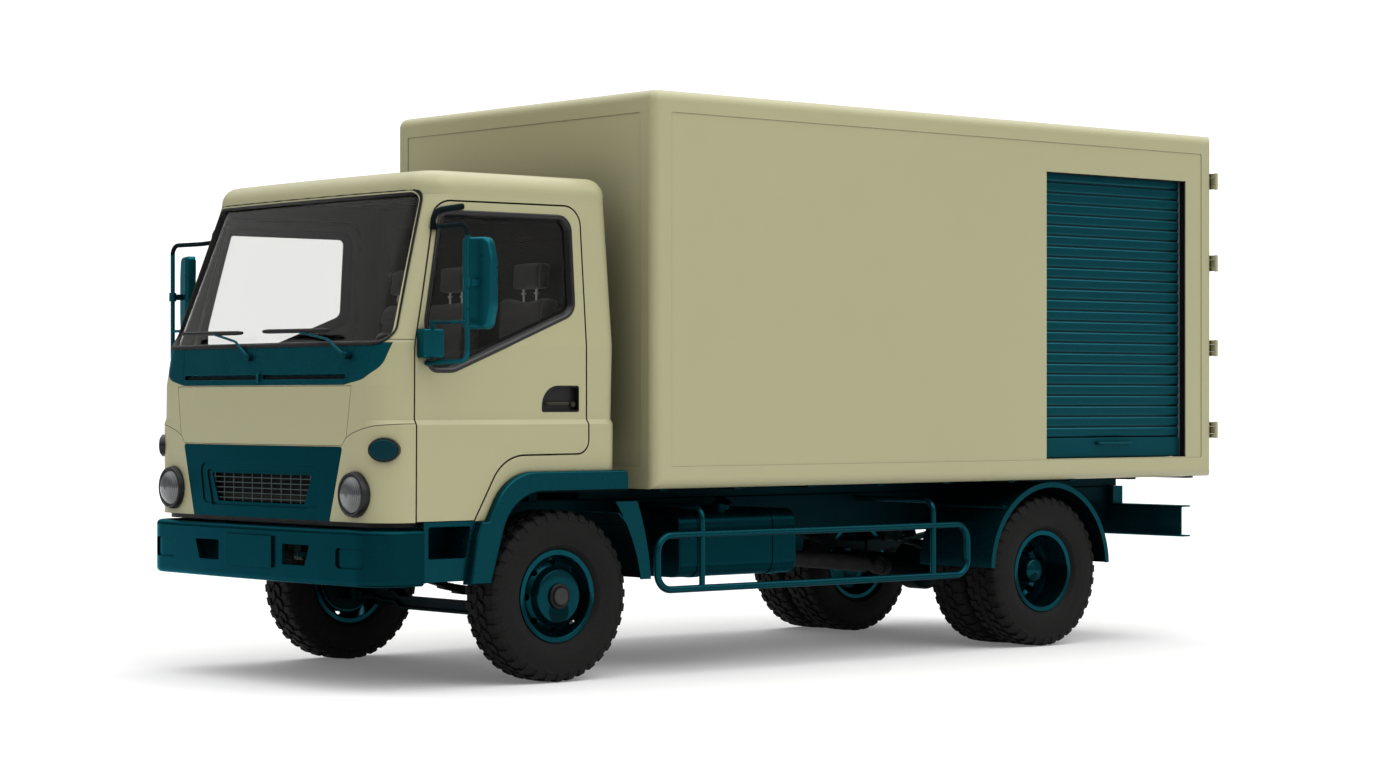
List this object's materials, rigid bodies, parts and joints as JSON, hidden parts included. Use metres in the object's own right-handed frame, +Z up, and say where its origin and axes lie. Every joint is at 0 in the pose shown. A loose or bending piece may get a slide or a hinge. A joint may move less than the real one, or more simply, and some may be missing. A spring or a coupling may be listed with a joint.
{
  "type": "box truck",
  "caption": "Light cab-over box truck with a tilting cab, a side roller shutter, rear doors, twin rear wheels and steered front wheels.",
  "frame": {"origin": "on the ground under the middle of the vehicle's box", "axes": "+Y to the rear, -Y forward, +X to the truck's left, +Z up"},
  "size_m": [2.6302, 5.689, 2.7939],
  "materials": {
    "cream_paint": "satin",
    "teal_paint": "satin",
    "chassis_paint": "matt",
    "dark_steel": "rough",
    "tyre": "matt",
    "glass": "clear",
    "lamp_glass": "gloss",
    "teal_lens": "gloss",
    "red_lens": "gloss",
    "black_plastic": "matt",
    "grey_plastic": "matt",
    "seat_fabric": "woven",
    "galvanised": "dull"
  },
  "bodies": {
    "chassis": {"chassis_rails": "chassis_paint", "crossmembers": "chassis_paint", "leaf_springs": "chassis_paint", "front_axle": "chassis_paint", "rear_axle": "chassis_paint", "engine": "dark_steel", "driveshaft": "dark_steel", "exhaust": "dark_steel", "fuel_tank": "teal_paint", "battery_box": "chassis_paint", "side_guards": "teal_paint", "front_bumper": "teal_paint", "rear_underrun_bar": "teal_paint", "tail_lamps": "red_lens", "mudguards": "teal_paint", "box_floor": "chassis_paint", "box_front_wall": "cream_paint", "box_side_left": "cream_paint", "box_side_right": "cream_paint", "box_roof": "cream_paint", "rear_portal": "cream_paint", "shutter_curtain": "teal_paint", "shutter_guides": "galvanised"},
    "cab": {"cab_floor": "grey_plastic", "seat_frames": "grey_plastic", "seat_cushions": "seat_fabric", "dashboard": "grey_plastic", "wheel_arches": "teal_paint", "grille_mesh": "black_plastic", "wipers": "teal_paint", "cab_roof": "cream_paint", "cab_back": "cream_paint", "cab_front_frame": "cream_paint", "windscreen": "glass", "cowl_panel": "teal_paint", "front_lid": "cream_paint", "grille_panel": "teal_paint", "headlamps": "lamp_glass", "indicators": "teal_lens", "lamp_bezels": "black_plastic"},
    "steering_wheel": {"steering_wheel": "black_plastic"},
    "door_left": {"door_left": "cream_paint", "door_glass_left": "glass", "mirror_left": "teal_paint"},
    "door_right": {"door_right": "cream_paint", "door_glass_right": "glass", "mirror_right": "teal_paint"},
    "knuckle_left": {"knuckle_left": "chassis_paint"},
    "knuckle_right": {"knuckle_right": "chassis_paint"},
    "tie_rod": {"tie_rod": "chassis_paint"},
    "front_wheel_left": {"front_wheel_left": "teal_paint", "front_tyre_left": "tyre"},
    "front_wheel_right": {"front_wheel_right": "teal_paint", "front_tyre_right": "tyre"},
    "rear_wheels_left": {"rear_wheels_left": "teal_paint", "rear_tyres_left": "tyre"},
    "rear_wheels_right": {"rear_wheels_right": "teal_paint", "rear_tyres_right": "tyre"},
    "rear_door_left": {"rear_door_left": "cream_paint"},
    "rear_door_right": {"rear_door_right": "cream_paint"}
  },
  "joints": [
    {"name": "cab_tilt", "type": "hinge", "parent": "chassis", "child": "cab", "pos_m": [0, -2.73, 0.79], "axis": [1, 0, 0], "range_deg": [0, 40]},
    {"name": "door_left_hinge", "type": "hinge", "parent": "cab", "child": "door_left", "pos_m": [0.984, -2.591, 1.2], "axis": [0, 0, -1], "range_deg": [0, 70]},
    {"name": "door_right_hinge", "type": "hinge", "parent": "cab", "child": "door_right", "pos_m": [-0.984, -2.591, 1.2], "axis": [0, 0, 1], "range_deg": [0, 70]},
    {"name": "steer_left", "type": "hinge", "parent": "chassis", "child": "knuckle_left", "pos_m": [0.725, -1.745, 0.4025], "axis": [0, 0, 1], "range_deg": [-35, 35]},
    {"name": "steer_right", "type": "hinge", "parent": "chassis", "child": "knuckle_right", "pos_m": [-0.725, -1.745, 0.4025], "axis": [0, 0, 1], "range_deg": [-35, 35]},
    {"name": "tie_rod_turn", "type": "hinge", "parent": "knuckle_left", "child": "tie_rod", "pos_m": [0.725, -1.595, 0.2885], "axis": [0, 0, 1], "range_deg": [-35, 35]},
    {"name": "steering_wheel_turn", "type": "hinge", "parent": "cab", "child": "steering_wheel", "pos_m": [0.51, -2.245, 1.5], "axis": [0, 0.5736, 0.8192], "range_deg": [-440, 440]},
    {"name": "front_wheel_left_spin", "type": "hinge", "parent": "knuckle_left", "child": "front_wheel_left", "pos_m": [0.8515, -1.745, 0.4025], "axis": [1, 0, 0], "continuous": true},
    {"name": "front_wheel_right_spin", "type": "hinge", "parent": "knuckle_right", "child": "front_wheel_right", "pos_m": [-0.8515, -1.745, 0.4025], "axis": [1, 0, 0], "continuous": true},
    {"name": "rear_wheels_left_spin", "type": "hinge", "parent": "chassis", "child": "rear_wheels_left", "pos_m": [0.8515, 1.555, 0.4025], "axis": [1, 0, 0], "continuous": true},
    {"name": "rear_wheels_right_spin", "type": "hinge", "parent": "chassis", "child": "rear_wheels_right", "pos_m": [-0.8515, 1.555, 0.4025], "axis": [1, 0, 0], "continuous": true},
    {"name": "rear_door_left_hinge", "type": "hinge", "parent": "chassis", "child": "rear_door_left", "pos_m": [1.068, 2.829, 1.8], "axis": [0, 0, -1], "range_deg": [0, 260]},
    {"name": "rear_door_right_hinge", "type": "hinge", "parent": "chassis", "child": "rear_door_right", "pos_m": [-1.068, 2.829, 1.8], "axis": [0, 0, 1], "range_deg": [0, 260]}
  ],
  "couplings": [
    {"joint": "steer_right", "follows": "steer_left", "ratio": 1},
    {"joint": "tie_rod_turn", "follows": "steer_left", "ratio": -1},
    {"joint": "steering_wheel_turn", "follows": "steer_left", "ratio": 12}
  ]
}
